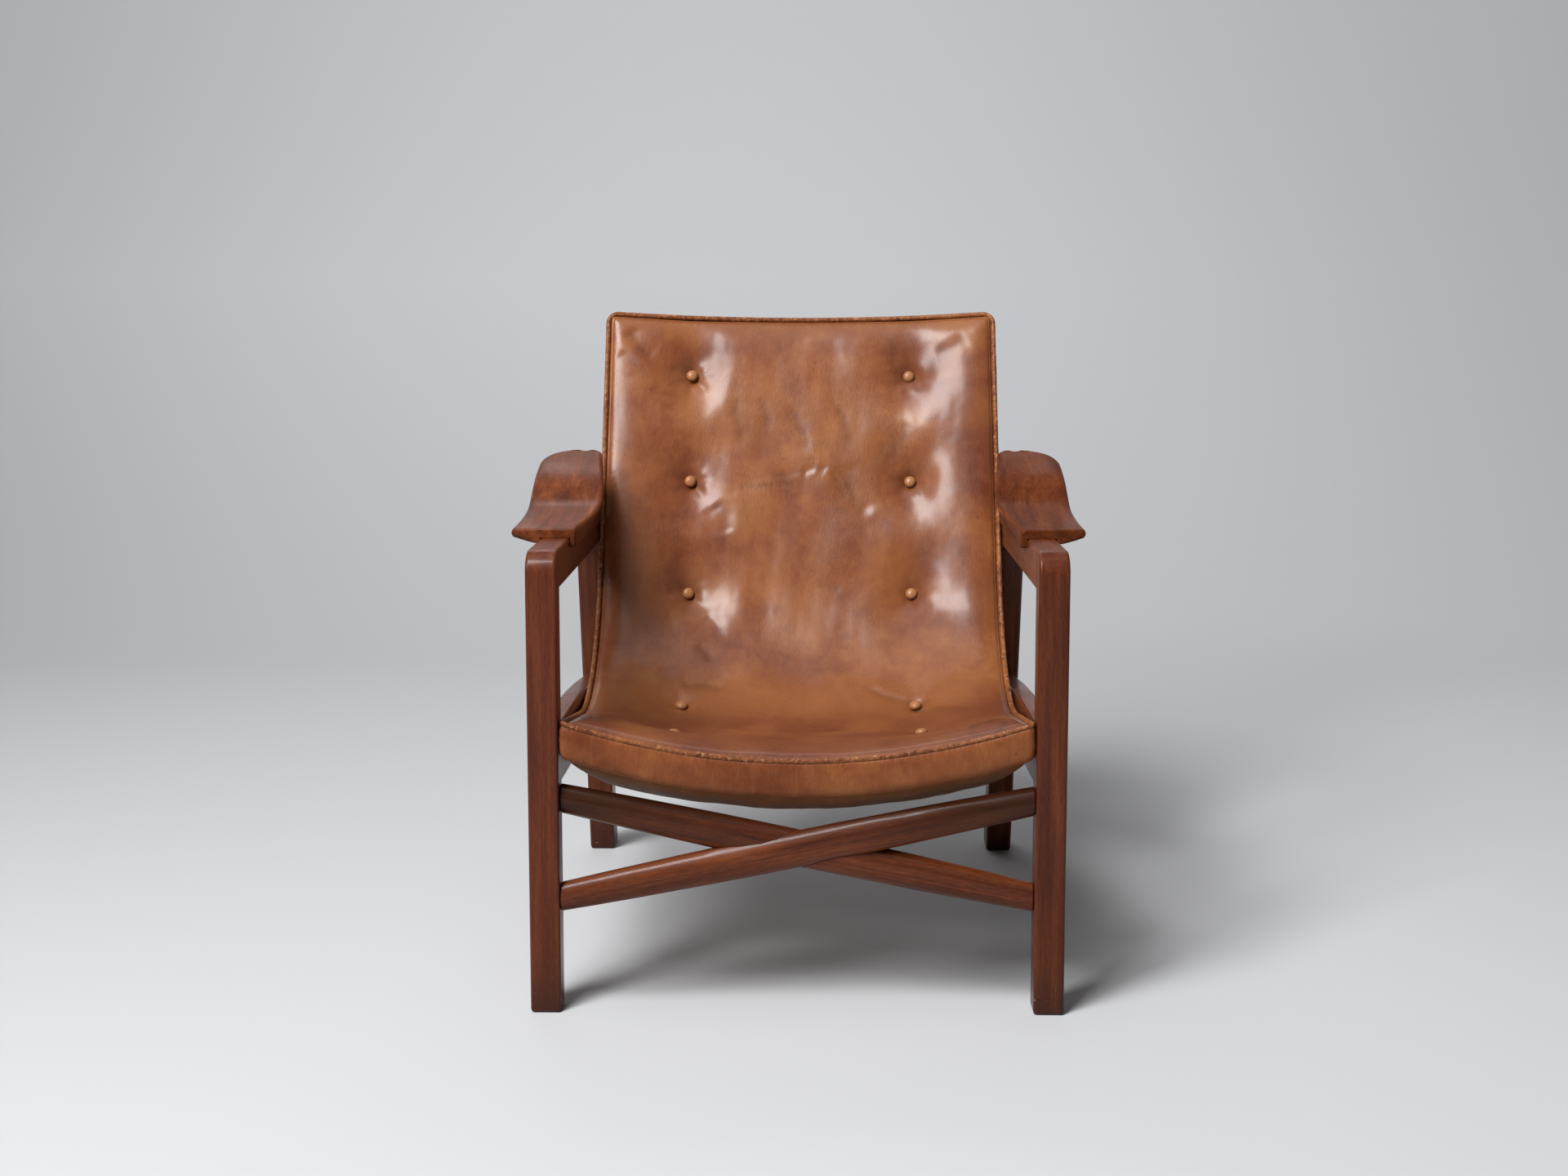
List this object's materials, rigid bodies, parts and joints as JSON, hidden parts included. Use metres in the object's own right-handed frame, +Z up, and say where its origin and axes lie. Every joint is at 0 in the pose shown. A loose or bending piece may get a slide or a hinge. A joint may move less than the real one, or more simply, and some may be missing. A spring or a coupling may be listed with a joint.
{
  "type": "lounge chair",
  "caption": "Low easy chair with a polished hardwood frame, sculpted armrests, crossed front stretchers and a dished, button-tufted leather seat shell.",
  "frame": {"origin": "on the floor under the middle of the chair, halfway between the front of the front legs and the back of the rear feet", "axes": "+Z up, front towards -Y; +X is on the viewer's right when the chair is seen from the front"},
  "size_m": [0.7, 0.687, 0.8042],
  "materials": {
    "mahogany": "satin polish",
    "leather": "worn, semi-gloss",
    "leather_trim": "worn, semi-gloss",
    "inner_wood": "sawn, unfinished",
    "brass": "aged, satin"
  },
  "bodies": {
    "root": {"front_leg_right": "mahogany", "arm_rail_right": "mahogany", "rear_leg_right": "mahogany", "seat_rail_right": "mahogany", "armrest_right": "mahogany", "seat_screw_right_1": "brass", "seat_screw_right_2": "brass", "back_screw_right": "brass", "armrest_screw_right_1": "brass", "armrest_screw_right_2": "brass", "front_leg_left": "mahogany", "arm_rail_left": "mahogany", "rear_leg_left": "mahogany", "seat_rail_left": "mahogany", "armrest_left": "mahogany", "seat_screw_left_1": "brass", "seat_screw_left_2": "brass", "back_screw_left": "brass", "armrest_screw_left_1": "brass", "armrest_screw_left_2": "brass", "stretcher_front": "mahogany", "stretcher_back": "mahogany", "front_cover": "leather", "border": "leather", "piping": "leather_trim", "rear_cover": "leather", "stile_right": "inner_wood", "stile_left": "inner_wood", "front_crossrail": "inner_wood", "top_crossrail": "inner_wood", "support_panel": "inner_wood", "button_left_1": "leather_trim", "button_right_1": "leather_trim", "button_left_2": "leather_trim", "button_right_2": "leather_trim", "button_left_3": "leather_trim", "button_right_3": "leather_trim", "button_left_4": "leather_trim", "button_right_4": "leather_trim", "button_left_5": "leather_trim", "button_right_5": "leather_trim"}
  },
  "joints": []
}
